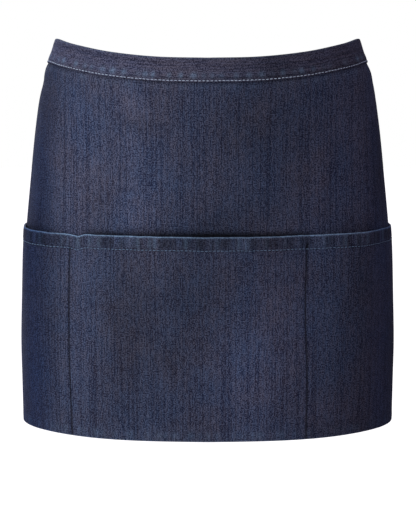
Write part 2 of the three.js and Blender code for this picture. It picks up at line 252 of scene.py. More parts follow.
# Painted light and shade, with faded and dark dye among them: distance to the right of the middle
# instead of around, the same other sizes, and a share of the lightness
FADES_AND_PAINTED_LIGHT = [
    (-0.118, 0.100, 0.026, 0.120, 0.0, 0.28),
    (-0.070, 0.060, 0.020, 0.050, 0.0, 0.34),
    (-0.066, 0.062, 0.018, 0.010, 0.0, -0.30),
    (-0.049, 0.130, 0.010, 0.055, 0.0, 0.12),
    (-0.068, 0.140, 0.018, 0.025, 0.0, 0.34),
    (-0.100, 0.140, 0.012, 0.020, 0.0, -0.16),
    (0.045, 0.060, 0.050, 0.050, 0.0, -0.26),
    (0.035, 0.140, 0.040, 0.020, 0.0, -0.20),
    (0.132, 0.110, 0.025, 0.080, 0.0, 0.12),
    (-0.072, 0.240, 0.028, 0.065, 0.0, -0.27),
    (-0.012, 0.215, 0.034, 0.040, 0.0, -0.25),
    (-0.113, 0.275, 0.022, 0.060, 0.0, 0.14),
    (0.036, 0.290, 0.032, 0.060, 0.0, 0.52),
    (0.070, 0.245, 0.034, 0.060, 0.0, 0.30),
    (0.140, 0.200, 0.020, 0.040, 0.0, -0.20),
    (0.098, 0.130, 0.010, 0.050, 0.0, 0.14),
    (-0.143, 0.050, 0.012, 0.030, 0.0, -0.22),
    (-0.142, 0.240, 0.010, 0.035, 0.0, -0.12),
    (-0.162, 0.190, 0.024, 0.190, 0.0, -0.16),
    (0.004, 0.150, 0.020, 0.012, 0.0, -0.20),
    (-0.031, 0.270, 0.010, 0.020, 0.0, -0.15),
    (0.161, 0.105, 0.013, 0.055, 0.0, -0.52),
    (0.140, 0.275, 0.028, 0.060, 0.0, -0.12),
    (-0.148, 0.160, 0.014, 0.080, 0.0, -0.18),
    (0.100, 0.320, 0.020, 0.020, 0.0, 0.14),
    (0.150, 0.343, 0.028, 0.011, 0.0, -0.28),
    (0.173, 0.275, 0.009, 0.090, 0.0, -0.52),
]
FRONT_END = 0.02
# Darkness of the painted shadow above the centre pocket's mouth
MOUTH_SHADE = 0.78
POCKET_HEIGHT = 0.187
POCKET_TOP = FRONT_LENGTH - POCKET_HEIGHT
# The two dividing seams, which wander a little: down, around
SEAM_LINES = (
    [(0.159, -0.1277), (0.215, -0.1290), (0.262, -0.1290), (0.346, -0.1264)],
    [(0.159, 0.0901), (0.240, 0.0885), (0.275, 0.0900), (0.346, 0.0897)],
)
SEAMS = (-0.1280, 0.0895)
# Darkness of the painted shade along the dividing seams
SEAM_SHADE = 0.85
SEAM_LINE_WIDTH = 0.0009
# Painted shade, darker and bluer, at the cloth's sides and behind: x at the left and the right side, y
# behind
RIM_SHADE_LEFT = (-0.162, -0.130)
RIM_SHADE_RIGHT = (0.138, 0.160)
SHADE_BEHIND = (0.0, 0.03)
RIM_SHADE_RIGHT_SHARE = 0.7
SHADE_BEHIND_SHARE = 0.6


def hills(table, around, down):
    """The sum of the soft hills and hollows in a table, at a place on the cloth."""
    total = np.zeros(np.broadcast(around, down).shape)
    for across, below, half_width, half_height, lean, height in table:
        right, under = around - across, down - below
        along = (right * math.cos(lean) - under * math.sin(lean)) / half_width
        aside = (right * math.sin(lean) + under * math.cos(lean)) / half_height
        total = total + height * np.exp(-(along**2) - aside**2)
    return total


def swell(around, down):
    """How far the worn cloth swells out or sinks in at a place."""
    return hills(SWELLS, around, down)


def puckers(seed, start, end, spacing, width):
    """A function of place along a seam, from 0 to about 1, with a small bump at uneven steps."""
    draw = np.random.default_rng(seed)
    count = int((end - start) / spacing) + 1
    places = start + spacing * (np.arange(count) + draw.uniform(-0.38, 0.38, count))
    heights = draw.uniform(0.25, 1.0, count)
    widths = width * draw.uniform(0.75, 1.3, count)

    def height_at(place):
        away = (np.asarray(place)[..., None] - places) / widths
        return np.clip((heights * np.exp(-(away**2))).sum(-1), 0, 1.2)

    return height_at


def bump(x, middle, width):
    """A soft bump of height 1 round `middle`."""
    return np.exp(-(((x - middle) / width) ** 2))


def spaced(start, end, step):
    """Even places from `start` to `end`, about `step` apart."""
    return np.linspace(start, end, max(1, round((end - start) / step)) + 1)


def fade_and_painted_light(points, down):
    """Painted light and shade with the dye fades: how much lighter or darker the cloth's front is than its
    back.
    """
    front = 1 - smooth(points[..., 1], -FRONT_END, FRONT_END)
    return front * hills(FADES_AND_PAINTED_LIGHT, points[..., 0], down)


def rim_painted_shade(points):
    """How much painted shade darkens and blues the cloth: most at the sides and behind."""
    left = 1 - smooth(points[..., 0], *RIM_SHADE_LEFT)
    right = RIM_SHADE_RIGHT_SHARE * smooth(points[..., 0], *RIM_SHADE_RIGHT)
    behind = SHADE_BEHIND_SHARE * smooth(points[..., 1], *SHADE_BEHIND)
    return np.maximum(np.maximum(left, right), behind)


def seam_shade(around, down):
    """Painted shade in each dividing seam's groove: a dark line in the cloth, from the pocket's top down.
    """
    reach = smooth(down, POCKET_TOP + 0.002, POCKET_TOP + 0.012)
    lines = sum(bump(around, through(line, 1, down), SEAM_LINE_WIDTH) for line in SEAM_LINES)
    return -SEAM_SHADE * reach * lines


def mesh_piece(name, points, faces, places, materials):
    """A smooth piece. Each point's place on its cloth or thread goes into the map named cloth."""
    mesh = bpy.data.meshes.new(name)
    mesh.from_pydata(points.reshape(-1, 3).tolist(), [], faces)
    mesh.shade_smooth()
    corners = np.zeros(len(mesh.loops), int)
    mesh.loops.foreach_get("vertex_index", corners)
    layer = mesh.uv_layers.new(name="cloth")
    layer.data.foreach_set("uv", places.reshape(-1, 2)[corners].astype(np.float32).ravel())
    for material in materials:
        mesh.materials.append(material)
    mesh.update()
    piece = bpy.data.objects.new(name, mesh)
    bpy.context.scene.collection.objects.link(piece)
    return piece


def cloth_object(name, outer, inner, places, outer_wear, inner_wear, shade, materials):
    """A closed layer of cloth between two grids of points. The grids' first axis goes down."""
    grid = outer.shape[:2]
    front = np.arange(grid[0] * grid[1]).reshape(grid)
    back = front + front.size

    def quads(index):
        a, b, c, d = index[:-1, :-1], index[:-1, 1:], index[1:, 1:], index[1:, :-1]
        return np.stack([a, d, c, b], -1).reshape(-1, 4)

    def border(first, second):
        return np.stack([first[:-1], first[1:], second[1:], second[:-1]], -1)

    faces = np.concatenate([
        quads(front),
        quads(back)[:, ::-1],
        border(front[0], back[0]),
        border(front[-1], back[-1])[:, ::-1],
        border(front[:, 0], back[:, 0])[:, ::-1],
        border(front[:, -1], back[:, -1]),
    ])
    points = np.concatenate([outer, inner])
    piece = mesh_piece(name, points, faces.tolist(), np.concatenate([places, places]), materials)
    # Tones stored at the points: wear is real wear, shade is painted light and shade with dye fades, and
    # deep is painted shade at the sides and behind
    tones = (("wear", outer_wear, inner_wear), ("shade", shade, 0), ("deep", rim_painted_shade(outer), 0))
    for tone, outside, inside in tones:
        values = [np.broadcast_to(value, grid).ravel() for value in (outside, inside)]
        stored = piece.data.attributes.new(tone, "FLOAT", "POINT")
        stored.data.foreach_set("value", np.concatenate(values).astype(np.float32))
    if len(materials) > 1:
        reverse = np.zeros(len(faces), np.int32)
        reverse[len(quads(front)) : 2 * len(quads(front))] = 1
        piece.data.polygons.foreach_set("material_index", reverse)
    piece.data.update()
    return piece


def edge_round(distance, radius):
    """How full a rounded edge is at a distance from it, from 0 at the edge to 1."""
    return np.sqrt(1 - (1 - np.clip(distance / radius, 0, 1)) ** 2)


def new_material(name):
    """A material, with its node tree and its main shader."""
    material = bpy.data.materials.new(name)
    material.use_nodes = True
    tree = material.node_tree
    return material, tree, tree.nodes["Principled BSDF"]


def add_node(tree, kind, **values):
    """A new node. Each value goes into its socket of that name, or else onto the node itself."""
    node = tree.nodes.new(kind)
    for name, value in values.items():
        if name in node.inputs:
            node.inputs[name].default_value = value
        else:
            setattr(node, name, value)
    return node


def feed(tree, sockets, values):
    """Gives each socket its value, by a link where the value is another node's output."""
    for socket, value in zip(sockets, values):
        if isinstance(value, (tuple, float, int)):
            socket.default_value = value
        else:
            tree.links.new(value, socket)


def math_node(tree, operation, *values):
    """The result of one sum on numbers and other nodes' outputs."""
    node = add_node(tree, "ShaderNodeMath", operation=operation)
    feed(tree, node.inputs, values)
    return node.outputs[0]


def weighed(tree, first, *others):
    """The sum of some values, each given with its share."""
    total = math_node(tree, "MULTIPLY", *first)
    for value, share in others:
        total = math_node(tree, "ADD", total, math_node(tree, "MULTIPLY", value, share))
    return total


def mix_colour(tree, share, first, second, blend="MIX"):
    """The first colour with a share of the second mixed in."""
    node = add_node(tree, "ShaderNodeMix", data_type="RGBA", blend_type=blend)
    feed(tree, (node.inputs[0], node.inputs[6], node.inputs[7]), (share, first, second))
    return node.outputs[2]


def spread(tree, value, low, high):
    """Stretches the middle of a noise over 0 to 1."""
    node = add_node(tree, "ShaderNodeMapRange")
    sockets = (node.inputs[name] for name in ("Value", "From Min", "From Max"))
    feed(tree, sockets, (value, low, high))
    return node.outputs[0]


def yarn_noise(tree, place, across, along, low, high, detail=2.0):
    """Noise from 0 to 1, with grains `across` metres wide and `along` metres long on the cloth."""
    scale = add_node(tree, "ShaderNodeMapping", Scale=(1 / across, 1 / along, 1))
    tree.links.new(place, scale.inputs["Vector"])
    noise = add_node(tree, "ShaderNodeTexNoise", Scale=1.0, Detail=detail, Roughness=0.6)
    tree.links.new(scale.outputs[0], noise.inputs["Vector"])
    return spread(tree, noise.outputs["Fac"], low, high)


def slanting_turns(tree, place, slant, pitch):
    """An angle that makes a full turn every `pitch` metres across slanting lines."""
    parts = tree.nodes.new("ShaderNodeSeparateXYZ")
    tree.links.new(place, parts.inputs[0])
    aslant = math_node(tree, "MULTIPLY", parts.outputs[1], slant)
    aslant = math_node(tree, "ADD", parts.outputs[0], aslant)
    return math_node(tree, "MULTIPLY", aslant, 2 * math.pi / pitch)


def painted(tree, tone):
    """A tone that is stored at the cloth's points."""
    return add_node(tree, "ShaderNodeAttribute", attribute_name=tone).outputs["Fac"]


def add_relief(tree, shader, height, strength, distance):
    """Makes a shader's surface look as rough as a height says."""
    bumps = add_node(tree, "ShaderNodeBump", Strength=strength, Distance=distance)
    tree.links.new(height, bumps.inputs["Height"])
    tree.links.new(bumps.outputs[0], shader.inputs["Normal"])


TWILL_PITCH = 0.00085
TWILL_SLANT = 0.55
TWILL_WANDER = 2.5
WORN_BLUE = (0.300, 0.470, 0.680, 1)
# The tint of the painted shade that darkens and blues the cloth at its sides and behind
RIM_SHADE_TINT = (0.52, 0.64, 0.90, 1)


def denim(name, deep, pale, brown, brown_pale, turned=False):
    """Indigo denim: slubby warp streaks over a twill, uneven dye, pale blue where it is worn, and the
    painted light and shade stored at its points.
    """
    material, tree, shader = new_material(name)
    place = add_node(tree, "ShaderNodeUVMap", uv_map="cloth").outputs[0]
    if turned:
        turn = add_node(tree, "ShaderNodeMapping", Rotation=(0, 0, math.pi / 2))
        tree.links.new(place, turn.inputs["Vector"])
        place = turn.outputs[0]
    pin_line = yarn_noise(tree, place, across=0.0015, along=0.220, low=0.54, high=0.66, detail=0.0)
    long_slub = yarn_noise(tree, place, across=0.0013, along=0.030, low=0.34, high=0.66, detail=1.0)
    short_slub = yarn_noise(tree, place, across=0.0012, along=0.0058, low=0.34, high=0.66, detail=1.0)
    grain = yarn_noise(tree, place, across=0.0010, along=0.0012, low=0.37, high=0.63)
    cloud = yarn_noise(tree, place, across=0.022, along=0.030, low=0.30, high=0.70)
    brown_cloud = yarn_noise(tree, place, across=0.045, along=0.070, low=0.36, high=0.64, detail=1.0)
    brown_yarn = yarn_noise(tree, place, across=0.0022, along=0.012, low=0.38, high=0.62, detail=1.0)
    wander = math_node(tree, "MULTIPLY", short_slub, TWILL_WANDER)
    turns = slanting_turns(tree, place, TWILL_SLANT, TWILL_PITCH)
    twill = math_node(tree, "SINE", math_node(tree, "ADD", turns, wander))
    twill = math_node(tree, "MULTIPLY_ADD", twill, 0.5, 0.5)
    shares = ((long_slub, 0.10), (short_slub, 0.22), (grain, 0.53), (cloud, 0.09), (twill, 0.09))
    light = weighed(tree, *shares)
    light = spread(tree, light, 0.31, 0.70)
    light = math_node(tree, "SUBTRACT", light, math_node(tree, "MULTIPLY", pin_line, 0.27))
    light = math_node(tree, "MAXIMUM", light, 0.0)
    colour = mix_colour(tree, light, deep, pale)
    brown_share = weighed(tree, (brown_cloud, 0.38), (brown_yarn, 0.30))
    colour = mix_colour(tree, brown_share, colour, mix_colour(tree, light, brown, brown_pale))
    rubbed = math_node(tree, "MULTIPLY", painted(tree, "wear"), math_node(tree, "ADD", grain, 0.55))
    rubbed = math_node(tree, "MINIMUM", rubbed, 1.0)
    colour = mix_colour(tree, rubbed, colour, WORN_BLUE)
    # Painted shade at the sides and behind, stored as the tone deep, darkens and blues the colour
    colour = mix_colour(tree, painted(tree, "deep"), colour, RIM_SHADE_TINT, blend="MULTIPLY")
    # The shade tone, painted light and shade with the dye fades, scales the colour's value
    value = tree.nodes.new("ShaderNodeHueSaturation")
    tree.links.new(math_node(tree, "ADD", painted(tree, "shade"), 1.0), value.inputs["Value"])
    tree.links.new(colour, value.inputs["Color"])
    tree.links.new(value.outputs[0], shader.inputs["Base Color"])
    tree.links.new(math_node(tree, "MULTIPLY_ADD", light, -0.12, 0.95), shader.inputs["Roughness"])
    height = math_node(tree, "ADD", math_node(tree, "MULTIPLY", long_slub, 0.5), twill)
    height = math_node(tree, "ADD", height, grain)
    add_relief(tree, shader, height, strength=0.55, distance=0.00018)
    shader.inputs["Specular IOR Level"].default_value = 0.22
    shader.inputs["Sheen Weight"].default_value = 0.03
    shader.inputs["Sheen Roughness"].default_value = 0.45
    shader.inputs["Sheen Tint"].default_value = (0.45, 0.55, 1.0, 1)
    return material


BODY_DENIM = denim(
    "body denim",
    deep=(0.010, 0.016, 0.046, 1),
    pale=(0.090, 0.126, 0.221, 1),
    brown=(0.021, 0.018, 0.032, 1),
    brown_pale=(0.144, 0.132, 0.175, 1),
)
REVERSE_DENIM = denim(
    "denim reverse",
    deep=(0.09, 0.11, 0.16, 1),
    pale=(0.28, 0.31, 0.38, 1),
    brown=(0.12, 0.13, 0.17, 1),
    brown_pale=(0.30, 0.31, 0.35, 1),
)

LEFT_EDGE = WORN_SHIFT - CLOTH_WIDTH / 2
RIGHT_EDGE = WORN_SHIFT + CLOTH_WIDTH / 2
SIDE_ROUNDING = 0.0010
HEM_ROUNDING = 0.0008
EDGE_COLUMNS = np.array([0.0002, 0.0005, SIDE_ROUNDING])
SEAM_COLUMNS = np.arange(-0.0028, 0.0029, 0.0007)
COLUMN_STEP = 0.0021
ACROSS = np.unique(np.concatenate([
    spaced(LEFT_EDGE, RIGHT_EDGE, COLUMN_STEP),
    LEFT_EDGE + EDGE_COLUMNS,
    RIGHT_EDGE - EDGE_COLUMNS,
    SEAMS[0] + SEAM_COLUMNS,
    SEAMS[1] + SEAM_COLUMNS,
]))
FROM_EDGE = np.minimum(ACROSS - LEFT_EDGE, RIGHT_EDGE - ACROSS)

SIDE_STITCH_IN = 0.0082
SEAM_DIP = 0.00035
PULL_HEIGHT = 0.0003
under_band = puckers(11, LEFT_EDGE, RIGHT_EDGE, 0.0100, 0.0026)
side_pull = puckers(12, 0, FRONT_LENGTH, 0.0085, 0.0022)
seam_pull = puckers(13, POCKET_TOP, FRONT_LENGTH, 0.0068, 0.0018)


def seam_relief(around, down):
    """The groove that each dividing seam pulls into the cloth, and the small pulls beside it."""
    total = 0
    for line in SEAM_LINES:
        away = np.abs(around - through(line, 1, down))
        reach = smooth(down, POCKET_TOP + 0.004, POCKET_TOP + 0.020)
        total = total - reach * SEAM_DIP * bump(away, 0, 0.0011)
        total = total + reach * PULL_HEIGHT * seam_pull(down + 0.4 * away) * bump(away, 0.0036, 0.0022)
    return total


body_rows = np.concatenate([
    spaced(0.0020, 0.020, 0.006),
    spaced(0.0215, 0.034, 0.0011),
    spaced(0.0360, POCKET_TOP - 0.004, 0.0029),
    spaced(POCKET_TOP, FRONT_LENGTH - 0.003, 0.0046),
    FRONT_LENGTH - np.array([0.0012, 0.0006, 0.0002, 0]),
])
down, around = body_rows[:, None], ACROSS[None, :]
side_dip = bump(FROM_EDGE, SIDE_STITCH_IN, 0.0012)
band_pull = bump(down, 0.0262, 0.0024) * under_band(around)
edge_pull = side_pull(down) * bump(FROM_EDGE, 0.0045, 0.0030)
out = swell(around, down) * smooth(down, BAND_HEIGHT, 0.05) + PULL_HEIGHT * band_pull
out = out + seam_relief(around, down) - 0.0003 * side_dip + 0.00035 * edge_pull
full = edge_round(FROM_EDGE, SIDE_ROUNDING) * edge_round(FRONT_LENGTH - down, HEM_ROUNDING)
in_side_hem = (down > BAND_HEIGHT + SEAM_GAP) * (1 - smooth(FROM_EDGE, 0.0088, SIDE_HEM_WIDTH))
wall = CLOTH_WALL + (SIDE_HEM_WALL - CLOTH_WALL) * in_side_hem
middle = out - wall / 2
outer = on_cloth(around, down, middle + full * wall / 2)
inner = on_cloth(around, down, middle - full * wall / 2)
places = np.stack(np.broadcast_arrays(around, down), -1)
edge_wear = 0.55 * bump(FROM_EDGE, 0, 0.0012)
wear = edge_wear + 0.09 * band_pull + 0.25 * edge_pull
# Painted shadow: only the centre pocket's mouth darkens the cloth above it
open_mouth = smooth(around, -0.130, -0.100) * (1 - smooth(around, 0.080, 0.110))
shade = fade_and_painted_light(outer, down) - MOUTH_SHADE * open_mouth * bump(down, POCKET_TOP, 0.0030)
# Painted shadow on the body panel just under the waistband's bottom edge
shade = shade - 0.30 * bump(down, BAND_HEIGHT, 0.0022)
denims = [BODY_DENIM, REVERSE_DENIM]
body_panel = cloth_object("body_panel_cloth", outer, inner, places, wear, edge_wear, shade, denims)
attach(body_panel, "root")
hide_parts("body_panel")

# Side hem stitching
# A row of dark blue thread runs down each turned side edge and holds the fold to the panel.
# Every stitch is a short thick thread that comes up out of the cloth and goes back in.
THREAD_RADIUS = 0.00027
STITCH_STEP = 0.0036
STITCH_SHARE = 0.80
THREAD_SIDES = 6
# Along one stitch: share of its length, share of its thickness, height in thread radii
STITCH_FORM = [
    (0.00, 0.45, -0.9),
    (0.12, 0.85, 0.1),
    (0.35, 1.00, 0.7),
    (0.65, 1.00, 0.7),
    (0.88, 0.85, 0.1),
    (1.00, 0.45, -0.9),
]
STITCH_SINK = 0.0003
PLY_SLANT = 0.8
PLY_PITCH = 0.0006
LINE_STEP = 0.001


def thread_material(name, colour, pale):
    """Twisted sewing thread: fine slanting plies, and uneven dye."""
    material, tree, shader = new_material(name)
    place = add_node(tree, "ShaderNodeUVMap", uv_map="cloth").outputs[0]
    uneven = yarn_noise(tree, place, across=0.006, along=0.006, low=0.3, high=0.7)
    ply = math_node(tree, "SINE", slanting_turns(tree, place, PLY_SLANT, PLY_PITCH))
    ply = math_node(tree, "MULTIPLY_ADD", ply, 0.25, 0.5)
    share = math_node(tree, "MULTIPLY", math_node(tree, "ADD", uneven, ply), 0.6)
    tree.links.new(mix_colour(tree, share, colour, pale), shader.inputs["Base Color"])
    add_relief(tree, shader, ply, strength=0.4, distance=0.0001)
    shader.inputs["Roughness"].default_value = 0.75
    shader.inputs["Specular IOR Level"].default_value = 0.3
    return material


DARK_THREAD = thread_material("dark thread", (0.010, 0.010, 0.022, 1), (0.030, 0.030, 0.055, 1))


def stitches(name, around, down, offset, material, seed, radius=THREAD_RADIUS, inside=False):
    """A row of stitches along a line on the cloth. around, down and offset follow the line finely."""
    draw = np.random.default_rng(seed)
    around, down, offset = (np.array(v, float) for v in np.broadcast_arrays(around, down, offset))
    line = on_cloth(around, down, offset)
    normals = look_up(OUTWARD, around, down) * (-1 if inside else 1)
    length = length_along(np.linalg.norm(np.diff(line, axis=0), axis=1))
    count = int(length[-1] / STITCH_STEP)
    starts = (np.arange(count) + 0.1 + draw.uniform(-0.04, 0.04, count)) * STITCH_STEP
    lengths = STITCH_STEP * STITCH_SHARE * draw.uniform(0.92, 1.06, count)
    form = np.array(STITCH_FORM)
    at = starts[:, None] + lengths[:, None] * form[None, :, 0]
    centre = np.stack([np.interp(at, length, line[:, k]) for k in range(3)], -1)
    up = np.stack([np.interp(at, length, normals[:, k]) for k in range(3)], -1)
    ahead = np.gradient(centre, axis=1)
    ahead /= np.linalg.norm(ahead, axis=-1, keepdims=True)
    side = np.cross(ahead, up)
    side /= np.linalg.norm(side, axis=-1, keepdims=True)
    side_shift = draw.uniform(-0.25, 0.25, count) * radius
    centre = centre + up * (form[None, :, 2, None] * radius) + side * side_shift[:, None, None]
    turn = np.arange(THREAD_SIDES) * 2 * math.pi / THREAD_SIDES
    thick = radius * form[None, :, 1, None, None]
    around_thread = side[:, :, None] * np.cos(turn)[:, None] + up[:, :, None] * np.sin(turn)[:, None]
    points = centre[:, :, None] + thick * around_thread
    rings = len(form)
    index = np.arange(count * rings * THREAD_SIDES).reshape(count, rings, THREAD_SIDES)
    following = np.roll(index, -1, axis=2)
    quads = np.stack([index[:, :-1], following[:, :-1], following[:, 1:], index[:, 1:]], -1).reshape(-1, 4)
    faces = quads.tolist() + index[:, 0, ::-1].tolist() + index[:, -1].tolist()
    places = np.stack(np.broadcast_arrays(at[:, :, None], turn * radius), -1)
    row = mesh_piece(name, points, faces, places, [material])
    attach(row, "root")
    return row


side_downs = spaced(BAND_HEIGHT + 0.001, FRONT_LENGTH - 0.003, LINE_STEP)
for side_name, edge, inward in (("left", LEFT_EDGE, 1), ("right", RIGHT_EDGE, -1)):
    place = edge + inward * SIDE_STITCH_IN
    level = swell(place, side_downs) - STITCH_SINK
    upper = side_downs < POCKET_TOP - 0.002
    row_name = f"side_stitches_{side_name}"
    row = stitches(row_name, place, side_downs[upper], level[upper], DARK_THREAD, seed=21)
    hidden = level - SIDE_HEM_WALL + STITCH_SINK
    row_name = f"side_stitches_inside_{side_name}"
    row = stitches(row_name, place, side_downs, hidden, DARK_THREAD, seed=22, inside=True)

# Waistband
# A strip of the same denim, cut along the warp, folded lengthwise over the panel's top edge.
# Its raw edges are turned in, and one row of pale thread near its bottom edge holds both leaves.
BAND_OUT = SEAM_GAP + BAND_WALL
BAND_IN = -(CLOTH_WALL + SEAM_GAP + BAND_WALL)
BAND_FOLD = 0.0013
BAND_STITCH_UP = 0.0011
BAND_DENIM = denim(
    "waistband denim",
    deep=(0.020, 0.024, 0.056, 1),
    pale=(0.150, 0.162, 0.260, 1),
    brown=(0.034, 0.029, 0.044, 1),
    brown_pale=(0.190, 0.170, 0.215, 1),
    turned=True,
)
band_bumps = puckers(31, LEFT_EDGE, RIGHT_EDGE, 0.0102, 0.0020)
leaf_edge = BAND_HEIGHT - np.array([0, 0.0002, 0.0005])
leaf = np.concatenate([leaf_edge, spaced(BAND_FOLD, 0.0213, 0.0010)[::-1]])
fold_turn = np.linspace(0, math.pi, 9)[1:-1]
fold_down = BAND_FOLD * (1 - np.sin(fold_turn))
band_middle = (BAND_OUT + BAND_IN) / 2
band_half = (BAND_OUT - BAND_IN) / 2
fold_out = band_half * np.cos(fold_turn)
outer_down = np.concatenate([leaf, fold_down, leaf[::-1]])
outer_offset = np.concatenate([
    np.full(len(leaf), BAND_OUT),
    band_middle + fold_out,
    np.full(len(leaf), BAND_IN),
])
inner_fold_down = BAND_FOLD + BAND_WALL * 0.2 - (BAND_FOLD - fold_down) * 0.35
inner_down = np.concatenate([leaf, inner_fold_down, leaf[::-1]])
inner_offset = np.concatenate([
    np.full(len(leaf), BAND_OUT - BAND_WALL),
    band_middle + fold_out * (1 - BAND_WALL / band_half),
    np.full(len(leaf), BAND_IN + BAND_WALL),
])
outside = (outer_offset > band_middle)[:, None]
down, around = outer_down[:, None], ACROSS[None, :]
pucker = bump(down, 0.0165, 0.0026) * band_bumps(around)
relief = 0.00045 * pucker - 0.00035 * bump(down, BAND_HEIGHT - BAND_STITCH_UP, 0.0007)
relief = relief + 0.0002 * bump(down, 0.004, 0.004)
edge_full = edge_round(BAND_HEIGHT - down, 0.0006) * edge_round(FROM_EDGE, SIDE_ROUNDING)
half_wall = (outer_offset - inner_offset)[:, None] / 2
middle = (outer_offset + inner_offset)[:, None] / 2
lifted = np.where(outside, relief, -0.3 * relief)
outer = on_cloth(around, down, middle + half_wall * edge_full + lifted)
inner = on_cloth(around, inner_down[:, None], middle - half_wall * edge_full + lifted)
along_band = length_along(np.hypot(np.diff(outer_down), np.diff(outer_offset)))
places = np.stack(np.broadcast_arrays(around, along_band[:, None]), -1)
wear = 0.44 * pucker + 0.22 * bump(down, 0, 0.0012) * (0.5 + band_bumps(around + 0.004))
wear = wear + 0.5 * bump(FROM_EDGE, 0, 0.0010)
wear = np.where(outside, wear, 0.3 * wear)
# Painted light and shade on the band: lighter at the left, darker to the right and round x 0.061, and a
# dark line just above the stitching
band_shade = 0.20 * bump(outer[..., 0], -0.145, 0.020) - 0.26 * smooth(outer[..., 0], -0.060, 0.050)
band_shade = band_shade - 0.20 * bump(down, 0.0192, 0.0016) - 0.20 * bump(outer[..., 0], 0.061, 0.014)
waistband = cloth_object("waistband_cloth", outer, inner, places, wear, 0, band_shade, [BAND_DENIM])
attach(waistband, "root")
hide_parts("waistband")

PALE_THREAD = thread_material("pale thread", (0.42, 0.52, 0.68, 1), (0.72, 0.84, 0.98, 1))
band_line = spaced(LEFT_EDGE + 0.002, RIGHT_EDGE - 0.002, LINE_STEP)
stitch_down = BAND_HEIGHT - BAND_STITCH_UP
level = BAND_OUT - 0.0002
row = stitches("band_stitches", band_line, stitch_down, level, PALE_THREAD, seed=32, radius=0.00034)
row = stitches(
    "band_stitches_inside",
    band_line,
    stitch_down,
    BAND_IN + 0.0001,
    PALE_THREAD,
    seed=33,
    radius=0.0003,
    inside=True,
)

# Pocket panel
# A second layer of denim over the lower half. Its top edge is turned in and sewn down as a hem,
# worn pale along the fold. It is joined to the body panel at its sides and bottom, and the two
# dividing seams make three pockets, whose mouths stand a little open.
POCKET_WALL = 0.0010
POCKET_HEM_HEIGHT = 0.013
POCKET_HEM_WALL = 0.0020
POCKET_GAPE = 0.009
SIDE_POCKET_GAPE = 0.008
POCKET_FOLD = 0.0010
POCKET_DENIM = denim(
    "pocket denim",
    deep=(0.009, 0.014, 0.042, 1),
    pale=(0.083, 0.118, 0.207, 1),
    brown=(0.021, 0.017, 0.030, 1),
    brown_pale=(0.130, 0.121, 0.162, 1),
)
# Where each mouth stands open: left and right ends of the pocket, middle and half width as shares
# of its width, and how far it opens
MOUTHS = [
    (LEFT_EDGE, SEAMS[0], 0.79, 0.21, SIDE_POCKET_GAPE),
    (SEAMS[0], SEAMS[1], 0.50, 0.50, POCKET_GAPE),
    (SEAMS[1], RIGHT_EDGE, 0.24, 0.24, SIDE_POCKET_GAPE),
]
# How far the mouth's edge hangs under its level line: around, distance
MOUTH_LINE = [
    (-0.230, 0.0000),
    (-0.200, -0.0012),
    (-0.165, 0.0002),
    (-0.145, 0.0008),
    (-0.1285, 0.0012),
    (-0.118, 0.0020),
    (-0.114, 0.0008),
    (-0.100, 0.0004),
    (-0.060, 0.0000),
    (0.000, 0.0004),
    (0.060, 0.0006),
    (0.091, 0.0002),
    (0.130, 0.0000),
    (0.240, 0.0000),
]
mouth_ripple = puckers(41, LEFT_EDGE, RIGHT_EDGE, 0.017, 0.0050)
hem_bumps = puckers(42, LEFT_EDGE, RIGHT_EDGE, 0.0135, 0.0032)
hem_streaks = puckers(43, LEFT_EDGE, RIGHT_EDGE, 0.0088, 0.0011)
bottom_bumps = puckers(44, LEFT_EDGE, RIGHT_EDGE, 0.0095, 0.0026)


def gape(around, down):
    """How far the pocket's cloth stands off the body panel, most at its top edge."""
    depth = np.clip((down - POCKET_TOP) / POCKET_HEIGHT, 0, 1)
    total = 0
    for left, right, middle, half_width, opening in MOUTHS:
        away = (around - left - (right - left) * middle) / ((right - left) * half_width)
        total = total + opening * np.clip(1 - away**2, 0, 1) ** 2
    return total * (1 - depth**2)


def mouth_drop(around, down):
    """How far the cloth hangs under its level line, which fades out below the hem."""
    left_over = 1 - smooth(down, POCKET_TOP + POCKET_HEM_HEIGHT, POCKET_TOP + 0.050)
    return (through(MOUTH_LINE, 1, around) + 0.0003 * mouth_ripple(around)) * left_over


def pocket_out(around, down):
    """Where the pocket panel's outer face stands, without the hem's own puckers."""
    below_hem = np.clip(down - POCKET_TOP - POCKET_HEM_HEIGHT, 0, 1) / (POCKET_HEIGHT - POCKET_HEM_HEIGHT)
    wall = POCKET_HEM_WALL + (POCKET_WALL - POCKET_HEM_WALL) * below_hem
    return SEAM_GAP + wall + gape(around, down) + swell(around, down) + seam_relief(around, down)


HEM_STITCH_DOWN = POCKET_TOP + POCKET_HEM_HEIGHT - 0.0006
pocket_rows = np.concatenate([
    POCKET_TOP + np.array([0, 0.0002, 0.0005]),
    spaced(POCKET_TOP + 0.0010, POCKET_TOP + 0.0185, 0.00115),
    spaced(POCKET_TOP + 0.0205, FRONT_LENGTH - 0.014, 0.0030),
    spaced(FRONT_LENGTH - 0.0125, FRONT_LENGTH - 0.0015, 0.0012),
    FRONT_LENGTH - np.array([0.0009, 0.0005, 0.0002, 0]),
])
down, around = pocket_rows[:, None], ACROSS[None, :]
in_hem = smooth(down, POCKET_TOP, POCKET_TOP + 0.003)
in_hem = in_hem * (1 - smooth(down, HEM_STITCH_DOWN - 0.003, HEM_STITCH_DOWN))
hem_pull = in_hem * hem_bumps(around + 0.25 * (down - POCKET_TOP))
bottom_pull = bump(down, FRONT_LENGTH - 0.0055, 0.0034) * bottom_bumps(around)
stitch_line = bump(down, HEM_STITCH_DOWN, 0.0008)
out = pocket_out(around, down) + 0.00045 * hem_pull + 0.0004 * bottom_pull - 0.00035 * stitch_line
full = edge_round(FROM_EDGE, SIDE_ROUNDING) * edge_round(FRONT_LENGTH - down, HEM_ROUNDING)
full = full * edge_round(down - POCKET_TOP, POCKET_FOLD)
